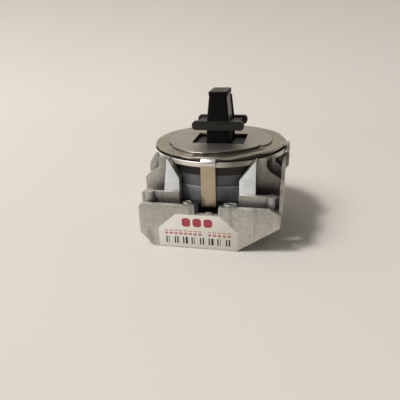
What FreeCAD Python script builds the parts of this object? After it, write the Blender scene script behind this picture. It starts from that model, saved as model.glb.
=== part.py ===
import FreeCAD, Part
import math
import os
import Sketcher
from FreeCAD import Placement, Rotation, Vector

# A spring-charged nine-wire dot matrix print head, standing on the back of its heat sink.
# Origin: on the wires' centre line, in the plane the heat sink stands on.
# +Z runs along the wires towards the paper, -Y faces the plate that carries the label,
# and +X is to the right of somebody who looks at that plate.

WIRE_COUNT = 9
ARM_STEP = 360.0 / WIRE_COUNT
FIRST_ARM = -90.0
TOOTH_SPREADS = (6.5, 9.5)      # half the angle of a pole tooth at its tip and at its root
PAST = 1.0                      # how far a cutting outline runs past the material it cuts
CLOSE = 0.01

SIZES = {
    # heat sink
    "sink_left": 20.7, "sink_right": 21.3, "sink_front": 26.5, "plate_thick": 1.5,
    "plate_top": 13.9, "shoulder_drop": 1.4, "shoulder_run": 3.2, "left_bevel": 0.9,
    "notch_half": 3.65, "notch_floor": 11.3, "notch_draft": 0.2,
    "left_cut_x": 3.9, "left_cut_z": 4.4, "right_cut_x": 12.6, "right_cut_z": 8.5,
    "nub_left": 0.3, "nub_right": 1.5, "nub_tall": 0.4,
    "base_radius": 20.4, "base_thick": 2.4, "fin_thick": 1.2, "fin_two": 22.5, "fin_pitch": 4.7,
    "well_radius": 20.7, "well_wall_top": 16.0, "well_wall_back": 7.2,
    "seat_top": 5.0, "seat_inner": 19.7, "web_top": 13.0, "web_deep": 8.0, "web_gap_floor": 9.0,
    "cheek_front": 21.5, "cheek_deep": 7.0, "cheek_inner": 9.0, "cheek_outer": 13.75,
    "cheek_shoulder": 16.7, "cheek_bend": 20.5, "cheek_top": 26.2, "cheek_lean": 1.3,
    "cheek_tip": 0.3, "boss_radius": 1.5, "boss_inset": 2.6, "boss_top": 16.6,
    "side_wall_in": 20.8, "side_wall_out": 21.65, "side_wall_front": 25.2, "side_wall_step": 17.8,
    "side_wall_back": 6.0, "side_wall_base": 12.4, "side_wall_low_top": 20.0, "side_wall_high_top": 23.6,
    "hook_half": 3.2, "hook_window_top": 12.05, "hook_window_deep": 1.3, "strap_slot_low": 7.0,
    "strap_room": 1.0, "gap": 0.1, "ring_room": 0.3, "tongue_room": 0.6,
    # magnetic stack
    "stack_radius": 20.3, "stack_inner": 16.4, "yoke_thick": 2.4, "yoke_bore": 4.0,
    "magnet_thick": 4.8, "side_yoke_thick": 4.8, "shim_thick": 0.4, "leaf_thick": 0.3,
    "spacer_thick": 1.2, "arm_yoke_thick": 2.3, "core_circle": 11.5, "core_radius": 1.7,
    "bobbin_radius": 3.5, "bobbin_bore": 1.8, "bobbin_wall": 0.5, "winding_radius": 3.3,
    "bobbin_base": 7.6, "bobbin_tall": 8.8, "flange_thick": 0.8, "pin_radius": 0.3,
    "pin_circle": 14.1, "pin_half_pitch": 1.3, "dowel_radius": 0.8, "dowel_circle": 18.3,
    "tooth_inner": 11.0, "tooth_outer": 16.6, "pivot_room": 0.3, "shim_inset": 0.15,
    "pin_room": 0.3, "pin_raise": 0.3, "dowel_in_nose": 1.7,
    # armatures and wires
    "pivot_circle": 15.7, "arm_root": 15.0, "arm_tip": 2.6, "arm_half": 1.5, "tip_half": 0.45,
    "arm_gap": 0.15, "arm_thick": 2.2, "tip_thick": 0.8, "arm_step_at": 8.6, "arm_slope": 2.4,
    "leaf_lap": 0.8, "leaf_extra": 0.4,
    "wire_radius": 0.15, "wire_circle": 3.2, "wire_pitch": 0.353, "wire_gap": 0.1,
    "wire_recess": 0.1, "tip_guide_thick": 0.6, "tip_half_x": 1.3, "tip_half_y": 2.5,
    "tip_room_x": 0.11, "tip_room_y": 0.08, "rear_guide_room": 0.08, "middle_guide_room": 0.06,
    "guide_thick": 1.2, "rear_guide_low": 24.4, "rear_guide_half": 4.0,
    "middle_guide_low": 34.0, "middle_guide_x": 2.5, "middle_guide_y": 3.2,
    # nose
    "nose_top": 43.0, "cap_tall": 1.3, "cap_half_x": 2.95, "cap_half_y": 4.4,
    "neck_half_x": 2.8, "neck_half_y": 4.3, "waist_half_x": 3.6, "waist_half_y": 5.1,
    "foot_half_x": 3.8, "foot_half_y": 5.6, "rib_front": 3.1, "rib_proud": 0.4, "rib_top": 41.0,
    "pad_half_x": 8.1, "pad_half_y": 6.1, "pad_top": 26.0, "nose_flange_top": 24.2,
    "pad_sunk": 0.5, "neck_sunk": 0.4, "neck_round": 0.6, "cap_round": 0.35,
    "wing_half": 8.3, "wing_low": 31.15, "wing_high": 33.95, "wing_thick": 1.7, "wing_out": 5.6,
    "wing_web_half": 6.8, "wing_web_low": 31.6, "wing_web_high": 33.4,
    "wing_web_inset": 1.0, "wing_end_round": 1.2,
    "channel_foot": 3.95, "channel_tip_x": 0.8, "channel_tip_y": 2.1,
    "felt_outer": 3.6, "felt_inner": 3.2, "felt_tall": 1.8, "felt_lift": 0.2,
    # pressure ring and clamp
    "ring_radius": 21.7, "ring_inner": 10.8, "ring_top": 26.2,
    "clamp_radius": 21.3, "clamp_thick": 0.6, "clamp_raise": 0.4, "clamp_step": 16.7,
    "step_run": 0.4, "strap_lap": 2.0, "bend_round": 0.5,
    "window_half_x": 8.4, "window_half_y": 6.4,
    "strap_half": 2.18, "strap_out": 22.3, "strap_toe": 11.4, "toe_reach": 1.2,
    "tab_out": 22.6, "tab_low": 18.9, "tab_wide": 4.4, "tab_thick": 1.2, "tab_neck": 0.8,
    "tab_flange_in": 20.15, "tab_flange_top": 24.0, "tab_flange_thick": 0.6,
    "tab_step_high": 0.3, "tab_step_low": 0.7, "tab_toe": 1.4, "tab_bevel": 0.3,
    # board
    "film_thick": 0.2, "film_inset": 0.4, "film_slack": 0.02,
    "board_thick": 1.6, "board_radius": 19.4, "tongue_half": 12.0,
    "tongue_root": 12.0, "tongue_out": 27.0, "finger_count": 11, "finger_pitch": 2.0,
    "finger_wide": 1.3, "finger_long": 4.5, "finger_inset": 0.4, "finger_thick": 0.05,
    "board_slot_half": 3.6, "board_slot_in": 20.3, "board_slot_room": 0.4,
    "bead_radius": 1.2, "bead_tall": 3.6,
    # label
    "label_thick": 0.08, "label_centre": -2.75, "label_half": 12.1, "label_low": 0.35,
    "label_shoulder": 6.2, "label_top": 11.1, "label_top_half": 6.6,
}

# Crests of the fins: from each fin's outer edge inwards, (distance in from the edge, height).
LOW_CREST = [(0, 15.7), (0.7, 16.4), (4.0, 16.4)]
CRESTS = {
    "first_left": [(0, 19.0), (0.8, 20.1), (2.3, 21.0), (4.5, 22.5), (4.8, 25.9), (7.1, 25.9)],
    "first_right": [(0.4, 19.7), (1.2, 20.4), (3.8, 22.0), (4.85, 23.5), (4.9, 26.0), (7.0, 25.9)],
    "second_left": [(0, 21.4), (0.4, 22.8), (1.3, 24.2), (2.5, 25.8), (4.5, 25.8)],
    "second_right": [(0, 21.4), (1.2, 22.6), (2.6, 23.4), (2.6, 25.6), (4.5, 25.6)],
    "third_left": [(0, 21.2), (0.5, 22.6), (1.3, 23.4), (3.0, 23.6)],
    "third_right": [(0, 21.2), (0.5, 22.6), (1.3, 23.4), (3.0, 23.6)],
}


class Term:
    """A sheet value or a sum of them: its present number, and its text for setExpression."""

    def __init__(self, text, number):
        self.text = text
        self.number = number

    def __add__(self, other):
        other = term(other)
        return Term(f"({self.text} + {other.text})", self.number + other.number)

    def __sub__(self, other):
        other = term(other)
        return Term(f"({self.text} - {other.text})", self.number - other.number)

    def __mul__(self, other):
        other = term(other)
        return Term(f"({self.text} * {other.text})", self.number * other.number)

    def __truediv__(self, other):
        other = term(other)
        return Term(f"({self.text} / {other.text})", self.number / other.number)

    def __neg__(self):
        return Term(f"(0 - {self.text})", -self.number)

    def __radd__(self, other):
        return term(other) + self

    def __rsub__(self, other):
        return term(other) - self

    def __rmul__(self, other):
        return term(other) * self


def term(amount):
    return amount if isinstance(amount, Term) else Term(repr(float(amount)), float(amount))


doc = FreeCAD.newDocument("print_head")
sheet = doc.addObject("Spreadsheet::Sheet", "Sizes")
for row, (alias, number) in enumerate(SIZES.items(), start=1):
    sheet.set(f"A{row}", alias)
    sheet.set(f"B{row}", str(number))
    sheet.setAlias(f"B{row}", alias)
doc.recompute()


class Sheet:
    """Reads a cell by its alias: s.base_radius is a Term bound to that cell."""

    def __getattr__(self, alias):
        return Term(f"Sizes.{alias}", float(sheet.get(alias)))


s = Sheet()
nodes = []


# ---------------------------------------------------------------- building blocks

def bind(thing, prop, amount):
    thing.setExpression(prop, term(amount).text)


def keep(thing, name):
    """Make an object one of the parts that are written out, under its own name."""
    thing.Label = name
    nodes.append(thing)
    return thing


def new_body(name):
    return doc.addObject("PartDesign::Body", f"{name}_body")


def new_sketch(body, role, name, lift=0.0):
    """A sketch on one of the body's own origin planes, lifted along that plane's normal."""
    plane = next(item for item in body.Origin.OriginFeatures if item.Role == role)
    sketch = body.newObject("Sketcher::SketchObject", name)
    sketch.AttachmentSupport = [(plane, "")]
    sketch.MapMode = "FlatFace"
    bind(sketch, "AttachmentOffset.Base.z", lift)
    return sketch


def pin_point(sketch, edge, place, across, up):
    """Hold one point of an edge at a place that comes from the sheet."""
    for kind, amount in (("DistanceX", across), ("DistanceY", up)):
        rule = sketch.addConstraint(Sketcher.Constraint(kind, -1, 1, edge, place, term(amount).number))
        sketch.setExpression(f"Constraints[{rule}]", term(amount).text)


def polygon(sketch, corners):
    """A closed outline through corners, each a pair (across, up)."""
    first = sketch.GeometryCount
    spots = [Vector(term(across).number, term(up).number, 0) for across, up in corners]
    count = len(spots)
    for index in range(count):
        sketch.addGeometry(Part.LineSegment(spots[index], spots[(index + 1) % count]), False)
    for index, (across, up) in enumerate(corners):
        after = first + (index + 1) % count
        sketch.addConstraint(Sketcher.Constraint("Coincident", first + index, 2, after, 1))
        pin_point(sketch, first + index, 1, across, up)


def rectangle(sketch, left, right, low, high):
    polygon(sketch, [(left, low), (right, low), (right, high), (left, high)])


def circle(sketch, radius, across=0.0, up=0.0):
    centre = Vector(term(across).number, term(up).number, 0)
    edge = sketch.addGeometry(Part.Circle(centre, Vector(0, 0, 1), term(radius).number), False)
    pin_point(sketch, edge, 3, across, up)
    rule = sketch.addConstraint(Sketcher.Constraint("Radius", edge, term(radius).number))
    sketch.setExpression(f"Constraints[{rule}]", term(radius).text)


def pad(body, sketch, length):
    feature = body.newObject("PartDesign::Pad", f"{sketch.Name}_pad")
    feature.Profile = sketch
    bind(feature, "Length", length)
    return feature


def pocket(body, sketch, depth):
    feature = body.newObject("PartDesign::Pocket", f"{sketch.Name}_pocket")
    feature.Profile = sketch
    bind(feature, "Length", depth)
    return feature


def revolve(body, sketch):
    feature = body.newObject("PartDesign::Revolution", f"{sketch.Name}_turn")
    feature.Profile = sketch
    feature.ReferenceAxis = (sketch, ["V_Axis"])
    feature.Angle = 360.0
    return feature


def round_edges(body, test, radius, name):
    """Fillet every edge of the body's present shape whose middle passes the test."""
    doc.recompute()
    base = body.Tip
    chosen = []
    for number, edge in enumerate(base.Shape.Edges, start=1):
        if test(edge, edge.CenterOfMass):
            chosen.append(f"Edge{number}")
    feature = body.newObject("PartDesign::Fillet", name)
    feature.Base = (base, chosen)
    bind(feature, "Radius", radius)
    doc.recompute()


def polar(radius, angle):
    """A place on a circle about Z, as a pair of Terms."""
    turn = math.radians(angle)
    return term(radius) * math.cos(turn), term(radius) * math.sin(turn)


def arm_angle(index):
    return FIRST_ARM + ARM_STEP * index


# ---------------------------------------------------------------- levels of the stack, from the floor up

board_low = s.base_thick + s.film_thick
board_high = board_low + s.board_thick
magnet_low = s.seat_top + s.yoke_thick
side_yoke_low = magnet_low + s.magnet_thick
core_top = side_yoke_low + s.side_yoke_thick
leaf_low = core_top + s.shim_thick
spacer_low = leaf_low + s.leaf_thick
arm_yoke_low = spacer_low + s.spacer_thick
nose_low = arm_yoke_low + s.arm_yoke_thick
arm_low = core_top + s.arm_gap
arm_high = arm_low + s.arm_thick
dowel_top = nose_low + s.dowel_in_nose


def ring(name, outer, inner, low, thick, dowel_holes=True):
    """A flat ring of the stack, with two holes for the dowels that line the stack up."""
    body = new_body(name)
    face = new_sketch(body, "XY_Plane", f"{name}_face", low)
    circle(face, outer)
    circle(face, inner)
    if dowel_holes:
        for side in (-1, 1):
            circle(face, s.dowel_radius, s.dowel_circle * side, 0)
    pad(body, face, thick)
    return keep(body, name)


# ---------------------------------------------------------------- heat sink

def plate_outline(sketch):
    """The front plate: cut corners below, and a notch in its top edge over the clamp's hook."""
    left, right = -s.sink_left, s.sink_right
    polygon(sketch, [
        (left + s.left_cut_x, 0), (right - s.right_cut_x, 0), (right, s.right_cut_z),
        (right, s.plate_top - s.shoulder_drop), (right - s.shoulder_run, s.plate_top),
        (s.notch_half, s.plate_top),
        (s.notch_half - s.notch_draft, s.notch_floor), (s.notch_draft - s.notch_half, s.notch_floor),
        (-s.notch_half, s.plate_top), (left + s.left_bevel, s.plate_top),
        (left, s.plate_top - s.left_bevel),
        (left, s.left_cut_z)])


def both_sides():
    """The two halves of the heat sink: side, tag, outer edge, and its cut corner's width and height."""
    return ((-1, "left", s.sink_left, s.left_cut_x, s.left_cut_z),
            (1, "right", s.sink_right, s.right_cut_x, s.right_cut_z))


def half_fin(body, name, front, half, crest):
    """Half a fin: up from its cut corner, over its crest, and down along the cheek's slope."""
    side, tag, edge, cut_x, cut_z = half
    outline = [((edge - cut_x) * side, 0), (edge * side, cut_z)]
    outline += [((edge - inwards) * side, height) for inwards, height in crest]
    if crest[-1][1] > s.cheek_bend.number:
        outline.append((s.cheek_inner * side, s.cheek_bend - 0.1))
    else:
        outline.append((s.cheek_inner * side, crest[-1][1]))
    outline.append((s.cheek_inner * side, 0))
    fin = new_sketch(body, "XZ_Plane", f"fin_{name}_{tag}", front - s.fin_thick)
    polygon(fin, outline)
    pad(body, fin, s.fin_thick)


def cheek(body, half):
    """The plate beside the clamp's strap: upright below, leaning away from the strap above."""
    side, tag = half[:2]
    lean = s.cheek_lean if side < 0 else 0
    tip = s.cheek_outer - lean
    face = new_sketch(body, "XZ_Plane", f"cheek_{tag}", s.cheek_front - s.cheek_deep)
    polygon(face, [(s.cheek_inner * side, 0), (s.cheek_outer * side, 0),
                   (s.cheek_outer * side, s.cheek_shoulder), (tip * side, s.cheek_top),
                   ((tip - s.cheek_tip) * side, s.cheek_top), (s.cheek_inner * side, s.cheek_bend)])
    pad(body, face, s.cheek_deep)


def front_plate(body):
    front_floor = new_sketch(body, "XY_Plane", "sink_front_floor")
    rectangle(front_floor, s.left_cut_x - s.sink_left, s.sink_right - s.right_cut_x,
              -s.sink_front, -s.side_wall_step + s.web_deep)
    pad(body, front_floor, s.base_thick)
    plate = new_sketch(body, "XZ_Plane", "sink_plate", s.sink_front - s.plate_thick)
    plate_outline(plate)
    pad(body, plate, s.plate_thick)
    nub = new_sketch(body, "XZ_Plane", "sink_nub", s.sink_front - s.plate_thick)
    rectangle(nub, -s.nub_left, s.nub_right, s.notch_floor - s.nub_tall, s.notch_floor + s.nub_tall)
    pad(body, nub, s.plate_thick - s.nub_tall)


def side_wall(body):
    """The wall on the right: lower behind the front plate, higher beside the round stack."""
    for tag, front, back, top in (
            ("low", s.side_wall_front, s.side_wall_step, s.side_wall_low_top),
            ("high", s.side_wall_step, s.side_wall_back, s.side_wall_high_top)):
        wall = new_sketch(body, "XY_Plane", f"side_wall_{tag}", s.side_wall_base)
        rectangle(wall, s.side_wall_in, s.side_wall_out, -front, -back)
        pad(body, wall, top - s.side_wall_base)


def cut_corners(body):
    """The slanted lower corners, carried back through the front plate and the fins behind it."""
    for side, tag, edge, cut_x, cut_z in both_sides():
        slope = cut_z / cut_x
        corner = new_sketch(body, "XZ_Plane", f"corner_cut_{tag}", s.cheek_front - s.cheek_deep)
        polygon(corner, [((edge - cut_x - PAST) * side, -slope * PAST),
                         ((edge + PAST) * side, -slope * PAST),
                         ((edge + PAST) * side, cut_z + slope * PAST)])
        pocket(body, corner, s.sink_front).Reversed = True


def round_pocket(body, name, radius, top, deep):
    face = new_sketch(body, "XY_Plane", name, top)
    circle(face, radius)
    pocket(body, face, deep)


def heat_sink():
    """The die casting: floor, wall round the stack, fins, cheeks and bosses, before its fine cuts."""
    body = new_body("heat_sink")
    floor = new_sketch(body, "XY_Plane", "sink_floor")
    circle(floor, s.base_radius)
    pad(body, floor, s.base_thick)
    well_wall = new_sketch(body, "XY_Plane", "well_wall")
    circle(well_wall, s.well_radius + s.fin_thick)
    circle(well_wall, s.seat_inner)
    pad(body, well_wall, s.well_wall_top)
    open_back = new_sketch(body, "XY_Plane", "well_open_back", s.well_wall_top)
    rectangle(open_back, -s.sink_front, s.sink_front, -s.well_wall_back, s.sink_front)
    pocket(body, open_back, s.well_wall_top - s.base_thick)
    round_floor = new_sketch(body, "XY_Plane", "round_floor", s.base_thick)
    circle(round_floor, s.sink_front)
    circle(round_floor, s.base_radius)
    pocket(body, round_floor, s.base_thick)

    front_plate(body)
    web = new_sketch(body, "XZ_Plane", "sink_web", s.fin_two - s.web_deep)
    rectangle(web, -s.cheek_inner - PAST, s.cheek_inner + PAST, 0, s.web_top)
    pad(body, web, s.web_deep)
    for half in both_sides():
        side, tag, edge = half[:3]
        half_fin(body, "low", s.fin_two, half, LOW_CREST)
        for number, name in enumerate(("first", "second", "third"), start=1):
            half_fin(body, name, s.fin_two - s.fin_pitch * number, half, CRESTS[f"{name}_{tag}"])
        cheek(body, half)
        boss = new_sketch(body, "XY_Plane", f"boss_{tag}")
        circle(boss, s.boss_radius, (edge - s.boss_inset) * side, -s.fin_two)
        pad(body, boss, s.boss_top)
    side_wall(body)
    cut_corners(body)
    return body


def finish_heat_sink(body):
    """The well for the stack, its seat, the way out for the board's tongue, and the hook posts."""
    above = s.nose_top
    round_pocket(body, "sink_well", s.well_radius, above, above - s.seat_top)
    round_pocket(body, "sink_under_ring", s.ring_radius + s.ring_room, above,
                 above - s.nose_flange_top + s.ring_room)
    round_pocket(body, "board_recess", s.seat_inner, s.seat_top + s.gap,
                 s.seat_top + s.gap - s.base_thick)
    seat = new_sketch(body, "XY_Plane", "sink_seat", s.base_thick / 2)
    circle(seat, s.base_radius)
    circle(seat, s.seat_inner)
    pad(body, seat, s.seat_top - s.base_thick / 2)
    tongue_way = new_sketch(body, "XY_Plane", "tongue_way", s.seat_top)
    rectangle(tongue_way, -s.tongue_half - s.tongue_room, s.tongue_half + s.tongue_room,
              s.tongue_root, s.sink_front)
    pocket(body, tongue_way, s.seat_top - s.base_thick)
    post = new_sketch(body, "XY_Plane", "back_post")
    rectangle(post, -s.hook_half, s.hook_half, s.dowel_circle, s.strap_out - s.clamp_thick - s.gap)
    pad(body, post, s.web_top)
    round_pocket(body, "back_post_clear", s.well_radius, s.web_top, s.web_top - s.base_thick)

    low_front = new_sketch(body, "XY_Plane", "low_front", s.well_wall_top)
    rectangle(low_front, -s.cheek_inner, s.cheek_inner, -s.fin_two - s.gap, -s.pivot_circle)
    pocket(body, low_front, s.well_wall_top - s.web_top)
    gaps = new_sketch(body, "XY_Plane", "web_gaps", s.web_top)
    for left, right in ((-s.cheek_inner, -s.hook_half), (s.hook_half, s.cheek_inner)):
        rectangle(gaps, left, right, -s.fin_two - s.gap, -s.pivot_circle)
    pocket(body, gaps, s.web_top - s.web_gap_floor)
    slot = new_sketch(body, "XY_Plane", "strap_slot", s.web_top)
    rectangle(slot, -s.strap_half - s.strap_room, s.strap_half + s.strap_room, -s.fin_two - s.gap,
              s.gap + s.clamp_thick - s.strap_out)
    pocket(body, slot, s.web_top - s.strap_slot_low)
    through = s.fin_thick * 2.5
    for tag, lift in (("front", s.fin_two - s.fin_thick * 2), ("back", -s.strap_out)):
        window = new_sketch(body, "XZ_Plane", f"{tag}_hook_window", lift)
        rectangle(window, -s.strap_half - s.ring_room, s.strap_half + s.ring_room,
                  s.hook_window_top - s.hook_window_deep, s.hook_window_top)
        pocket(body, window, through).Reversed = True
    return keep(body, "heat_sink")


def warning_label():
    body = new_body("warning_label")
    face = new_sketch(body, "XZ_Plane", "label_face", s.sink_front)
    mid = s.label_centre
    polygon(face, [(mid - s.label_half, s.label_low), (mid + s.label_half, s.label_low),
                   (mid + s.label_half, s.label_shoulder), (mid + s.label_top_half, s.label_top),
                   (mid - s.label_top_half, s.label_top), (mid - s.label_half, s.label_shoulder)])
    pad(body, face, s.label_thick)
    return keep(body, "warning_label")


# ---------------------------------------------------------------- magnetic stack

def base_yoke():
    """The steel floor of the magnet, with round seats for the cores and holes for the coil pins."""
    body = new_body("base_yoke")
    face = new_sketch(body, "XY_Plane", "yoke_face", s.seat_top)
    circle(face, s.stack_radius)
    circle(face, s.yoke_bore)
    for index in range(WIRE_COUNT):
        across, up = polar(s.core_circle, arm_angle(index))
        circle(face, s.core_radius, across, up)
        for spot in pin_places(index):
            circle(face, s.pin_radius + s.pin_room, *spot)
    pad(body, face, s.yoke_thick)
    return keep(body, "base_yoke")


def pin_places(index):
    """The two terminal pins of one bobbin, side by side outside its core."""
    turn = math.degrees(math.atan2(s.pin_half_pitch.number, s.pin_circle.number))
    return [polar(s.pin_circle, arm_angle(index) + turn * side) for side in (-1, 1)]


def cylinder(name, radius, height, low, across=0.0, up=0.0):
    solid = doc.addObject("Part::Cylinder", name)
    bind(solid, "Radius", radius)
    bind(solid, "Height", height)
    bind(solid, "Placement.Base.x", across)
    bind(solid, "Placement.Base.y", up)
    bind(solid, "Placement.Base.z", low)
    return solid


def box(name, left, width, front, depth, low, height):
    solid = doc.addObject("Part::Box", name)
    bind(solid, "Length", width)
    bind(solid, "Width", depth)
    bind(solid, "Height", height)
    bind(solid, "Placement.Base.x", left)
    bind(solid, "Placement.Base.y", front)
    bind(solid, "Placement.Base.z", low)
    return solid


def group(name, solids):
    """Identical loose pieces that share one node, as separate solids."""
    bundle = doc.addObject("Part::Compound", f"{name}_set")
    bundle.Links = solids
    return keep(bundle, name)


def magnet_cores():
    solids = []
    for index in range(WIRE_COUNT):
        across, up = polar(s.core_circle, arm_angle(index))
        solids.append(cylinder(f"core_{index + 1}", s.core_radius, core_top - s.seat_top,
                               s.seat_top, across, up))
    return group("magnet_cores", solids)


def spool_at(name, index, profile):
    """A turned piece on one core: profile is its half section as (radius, height) corners."""
    body = new_body(name)
    section = new_sketch(body, "XZ_Plane", f"{name}_section")
    polygon(section, profile)
    revolve(body, section)
    across, up = polar(s.core_circle, arm_angle(index))
    body.Placement = Placement(Vector(across.number, up.number, 0), Rotation())
    return body


def coils():
    low = s.bobbin_base
    high = s.bobbin_base + s.bobbin_tall
    hub = s.bobbin_bore + s.bobbin_wall
    spools = []
    for index in range(WIRE_COUNT):
        spools.append(spool_at(f"bobbin_{index + 1}", index, [
            (s.bobbin_bore, low), (s.bobbin_radius, low), (s.bobbin_radius, low + s.flange_thick),
            (hub, low + s.flange_thick), (hub, high - s.flange_thick),
            (s.bobbin_radius, high - s.flange_thick), (s.bobbin_radius, high), (s.bobbin_bore, high)]))
    group("coil_bobbins", spools)
    for index in range(WIRE_COUNT):
        name = f"winding_{index + 1}"
        keep(spool_at(name, index, [
            (hub, low + s.flange_thick), (s.winding_radius, low + s.flange_thick),
            (s.winding_radius, high - s.flange_thick), (hub, high - s.flange_thick)]), name)


def terminal_pins():
    solids = []
    for index in range(WIRE_COUNT):
        for side, (across, up) in enumerate(pin_places(index)):
            solids.append(cylinder(f"terminal_{index + 1}_{side + 1}", s.pin_radius,
                                   s.bobbin_base - board_low - s.pin_raise,
                                   board_low + s.pin_raise, across, up))
    return group("terminal_pins", solids)


def armature_yoke():
    """A steel ring with a pole tooth between each pair of neighbouring armatures."""
    body = new_body("armature_yoke")
    face = new_sketch(body, "XY_Plane", "arm_yoke_face", arm_yoke_low)
    circle(face, s.stack_radius)
    circle(face, s.pivot_circle + s.pivot_room)
    for side in (-1, 1):
        circle(face, s.dowel_radius, s.dowel_circle * side, 0)
    pad(body, face, s.arm_yoke_thick)
    for index in range(WIRE_COUNT):
        angle = arm_angle(index) + ARM_STEP / 2
        tooth = new_sketch(body, "XY_Plane", f"pole_tooth_{index + 1}", arm_yoke_low)
        tip, root = TOOTH_SPREADS
        polygon(tooth, [polar(s.tooth_inner, angle - tip), polar(s.tooth_outer, angle - root),
                        polar(s.tooth_outer, angle + root), polar(s.tooth_inner, angle + tip)])
        pad(body, tooth, s.arm_yoke_thick)
    return keep(body, "armature_yoke")


def dowels():
    solids = []
    for side in (-1, 1):
        solids.append(cylinder(f"dowel_{'left' if side < 0 else 'right'}", s.dowel_radius,
                               dowel_top - core_top, core_top, s.dowel_circle * side, 0))
    return group("alignment_dowels", solids)


# ---------------------------------------------------------------- armatures and wires

def armature(index):
    """A steel arm over one core, thinned towards its tip, with the leaf spring it hinges on."""
    name = f"armature_{index + 1}"
    body = new_body(name)
    plan = new_sketch(body, "XY_Plane", f"{name}_plan", arm_low)
    polygon(plan, [(s.arm_tip, -s.tip_half), (s.arm_step_at, -s.arm_half), (s.arm_root, -s.arm_half),
                   (s.arm_root, s.arm_half), (s.arm_step_at, s.arm_half), (s.arm_tip, s.tip_half)])
    pad(body, plan, s.arm_thick)
    thin = new_sketch(body, "XZ_Plane", f"{name}_thin", -s.arm_half - PAST)
    polygon(thin, [(s.arm_tip - PAST, arm_low - PAST), (s.arm_step_at, arm_low - PAST),
                   (s.arm_step_at, arm_low), (s.arm_step_at - s.arm_slope, arm_high - s.tip_thick),
                   (s.arm_tip - PAST, arm_high - s.tip_thick)])
    cut = pocket(body, thin, s.arm_half * 2 + PAST * 2)
    cut.Reversed = True
    leaf = new_sketch(body, "XY_Plane", f"{name}_leaf", leaf_low)
    rectangle(leaf, s.arm_root - s.leaf_lap, s.pivot_circle,
              -s.arm_half - s.leaf_extra, s.arm_half + s.leaf_extra)
    pad(body, leaf, s.leaf_thick)
    body.Placement = Placement(Vector(), Rotation(Vector(0, 0, 1), arm_angle(index)))
    return keep(body, name)


def row_order():
    """Which place in the column of dots each wire takes, so that no two wires cross."""
    ranked = sorted(range(WIRE_COUNT), key=lambda index: (
        round(math.sin(math.radians(arm_angle(index))), 6), -math.cos(math.radians(arm_angle(index)))))
    return {arm: place for place, arm in enumerate(ranked)}


PLACES = row_order()


def wire_at(index, height):
    """The centre of one wire where it passes a height: straight from its armature to its dot."""
    low = (arm_high + s.wire_gap).number
    high = (s.nose_top - s.wire_recess).number
    share = (height - low) / (high - low)
    turn = math.radians(arm_angle(index))
    foot = Vector(s.wire_circle.number * math.cos(turn), s.wire_circle.number * math.sin(turn), low)
    dot = Vector(0, (PLACES[index] - (WIRE_COUNT - 1) / 2) * s.wire_pitch.number, high)
    return foot + (dot - foot) * share


def print_wire(index):
    name = f"print_wire_{index + 1}"
    foot = wire_at(index, (arm_high + s.wire_gap).number)
    dot = wire_at(index, (s.nose_top - s.wire_recess).number)
    solid = doc.addObject("Part::Cylinder", name)
    bind(solid, "Radius", s.wire_radius)
    solid.Height = (dot - foot).Length
    solid.Placement = Placement(foot, Rotation(Vector(0, 0, 1), dot - foot))
    return keep(solid, name)


def guide(name, low, half_x, half_y, clearance):
    """A plate across the nose's channel with a hole along each wire's own line."""
    thick = s.guide_thick
    plate = box(f"{name}_plate", -half_x, half_x * 2, -half_y, half_y * 2, low, thick)
    holes = []
    for index in range(WIRE_COUNT):
        start = wire_at(index, low.number - PAST)
        stop = wire_at(index, (low + thick).number + PAST)
        hole = doc.addObject("Part::Cylinder", f"{name}_hole_{index + 1}")
        bind(hole, "Radius", s.wire_radius + clearance)
        hole.Height = (stop - start).Length
        hole.Placement = Placement(start, Rotation(Vector(0, 0, 1), stop - start))
        holes.append(hole)
    drills = doc.addObject("Part::MultiFuse", f"{name}_drills")
    drills.Shapes = holes
    cut = doc.addObject("Part::Cut", f"{name}_cut")
    cut.Base = plate
    cut.Tool = drills
    return keep(cut, name)


def tip_guide():
    """The hard guide in the nose's tip: one slot that holds the wires in a column."""
    body = new_body("tip_guide")
    face = new_sketch(body, "XY_Plane", "tip_face", s.nose_top - s.tip_guide_thick)
    rectangle(face, -s.tip_half_x, s.tip_half_x, -s.tip_half_y, s.tip_half_y)
    half_x = s.wire_radius + s.tip_room_x
    half_y = s.wire_pitch * ((WIRE_COUNT - 1) / 2) + s.wire_radius + s.tip_room_y
    rectangle(face, -half_x, half_x, -half_y, half_y)
    pad(body, face, s.tip_guide_thick)
    return keep(body, "tip_guide")


# ---------------------------------------------------------------- nose

def neck(body, neck_top):
    """The tapered neck, its rib along the back, and the cap on its end."""
    sections = []
    for name, height, half_x, half_y in (
            ("foot", s.pad_top - s.neck_sunk, s.foot_half_x, s.foot_half_y),
            ("waist", s.wing_high, s.waist_half_x, s.waist_half_y),
            ("head", neck_top, s.neck_half_x, s.neck_half_y)):
        section = new_sketch(body, "XY_Plane", f"neck_{name}", height)
        rectangle(section, -half_x, half_x, -half_y, half_y)
        sections.append(section)
    for index, low in enumerate(sections[:-1]):
        run = body.newObject("PartDesign::AdditiveLoft", f"neck_run_{index + 1}")
        run.Profile = low
        run.Sections = [sections[index + 1]]
        run.Ruled = True
    rib = new_sketch(body, "XZ_Plane", "neck_rib", -s.neck_half_y)
    foot, waist, head = (half + s.rib_proud for half in (s.foot_half_x, s.waist_half_x, s.neck_half_x))
    polygon(rib, [(-foot, s.pad_top - s.neck_sunk), (foot, s.pad_top - s.neck_sunk),
                  (waist, s.wing_high), (head, s.rib_top), (-head, s.rib_top), (-waist, s.wing_high)])
    pad(body, rib, s.neck_half_y - s.rib_front)
    cap = new_sketch(body, "XY_Plane", "nose_cap", neck_top)
    rectangle(cap, -s.cap_half_x, s.cap_half_x, -s.cap_half_y, s.cap_half_y)
    pad(body, cap, s.cap_tall)


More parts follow.
